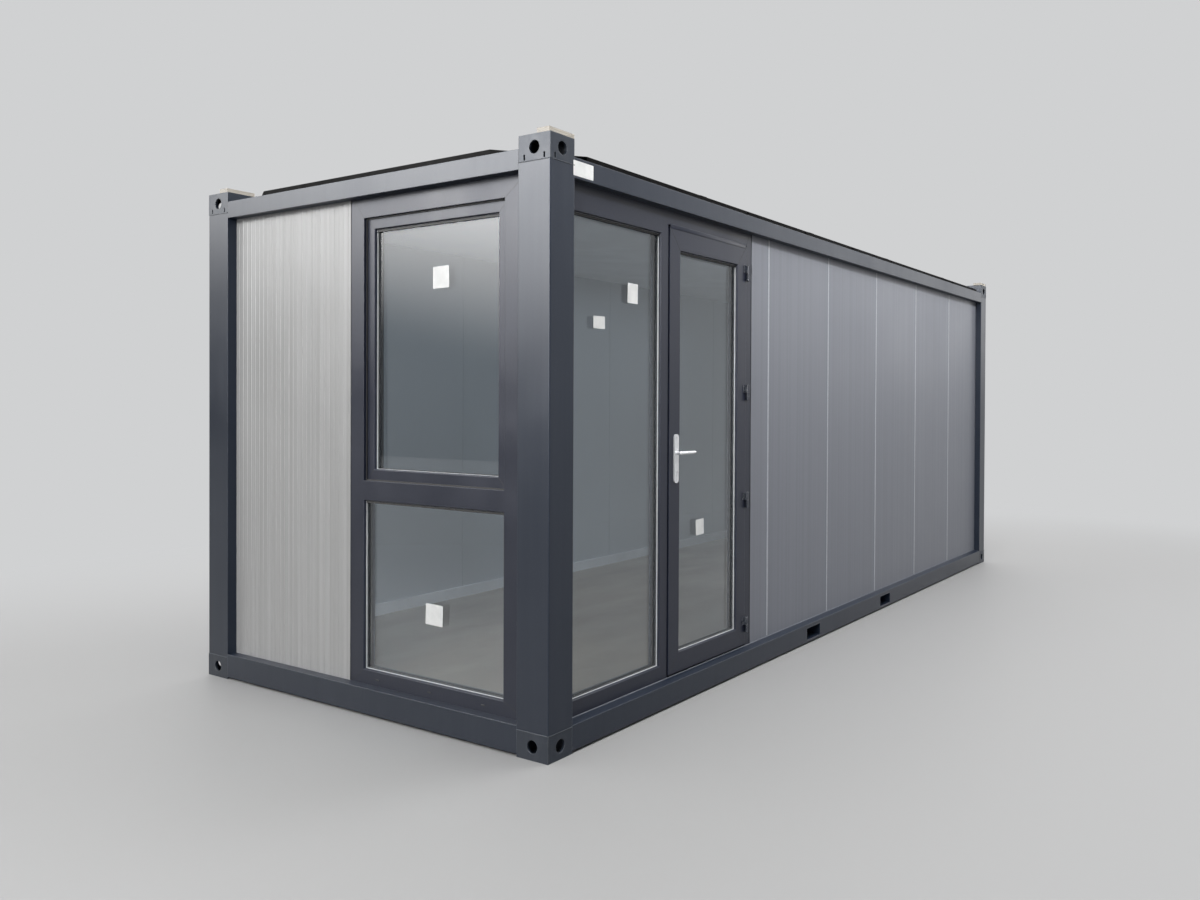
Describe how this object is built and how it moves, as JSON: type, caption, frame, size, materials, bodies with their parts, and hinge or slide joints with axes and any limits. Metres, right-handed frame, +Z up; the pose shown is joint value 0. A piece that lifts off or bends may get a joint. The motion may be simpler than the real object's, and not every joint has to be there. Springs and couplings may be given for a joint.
{
  "type": "office container",
  "caption": "Steel-framed office container with sandwich panel walls, a glazed front corner, a hinged glass door, fork pockets and corner castings.",
  "frame": {"origin": "centre of the footprint at ground level, under the bottom castings", "axes": "+Z up, -Y out of the window end, +X out of the door side"},
  "size_m": [2.435, 6.055, 2.611],
  "materials": {
    "frame_paint": "satin anthracite paint",
    "casting_paint": "satin anthracite paint over cast and welded plate",
    "window_foil": "anthracite foil with a fine grain",
    "panel_silver": "smooth coated sheet, silver grey",
    "panel_light": "ribbed coated sheet, light warm grey",
    "roof_black": "near-black coated sheet",
    "glass": "clear insulating glass",
    "floor_grey": "brown-grey floor covering",
    "lining_white": "off-white lining",
    "bright_steel": "satin stainless steel",
    "galvanised": "galvanised folded sheet",
    "pale_wood": "sawn softwood"
  },
  "bodies": {
    "cabin": {"post_front_right": "frame_paint", "casting_low_front_right": "casting_paint", "casting_top_front_right": "casting_paint", "post_front_left": "frame_paint", "casting_low_front_left": "casting_paint", "casting_top_front_left": "casting_paint", "post_rear_right": "frame_paint", "casting_low_rear_right": "casting_paint", "casting_top_rear_right": "casting_paint", "post_rear_left": "frame_paint", "casting_low_rear_left": "casting_paint", "casting_top_rear_left": "casting_paint", "floor_beam_front": "frame_paint", "roof_beam_front": "frame_paint", "floor_beam_rear": "frame_paint", "roof_beam_rear": "frame_paint", "floor_beam_right": "frame_paint", "roof_beam_right": "frame_paint", "floor_beam_left": "frame_paint", "roof_beam_left": "frame_paint", "fork_pocket_front": "frame_paint", "fork_pocket_rear": "frame_paint", "floor_joists": "galvanised", "floor_deck": "floor_grey", "skirting": "lining_white", "roof_sheet": "roof_black", "ceiling": "lining_white", "stacking_battens": "pale_wood", "front_wall_panel": "panel_light", "right_wall_panels": "panel_silver", "left_wall_panels": "panel_silver", "rear_wall_panels": "panel_silver", "front_window_frame": "window_foil", "front_window_sash": "window_foil", "front_upper_glass": "glass", "front_lower_glass": "glass", "side_glazing_frame": "window_foil", "side_fixed_glass": "glass", "hinges_on_frame": "frame_paint"},
    "door": {"door_leaf": "window_foil", "door_glass": "glass", "door_handle_plates": "bright_steel", "lock_cylinder": "bright_steel", "hinges_on_leaf": "frame_paint"},
    "lever": {"door_lever": "bright_steel"}
  },
  "joints": [
    {"name": "door_hinge", "type": "hinge", "parent": "cabin", "child": "door", "pos_m": [1.1845, -1.362, 1.245], "axis": [0, 0, 1], "range_deg": [0, 100]},
    {"name": "lever_turn", "type": "hinge", "parent": "door", "child": "lever", "pos_m": [1.1725, -2.0525, 1.236], "axis": [-1, 0, 0], "range_deg": [0, 40], "stiffness_Nm_per_rad": 2, "springref_deg": -28.65}
  ]
}
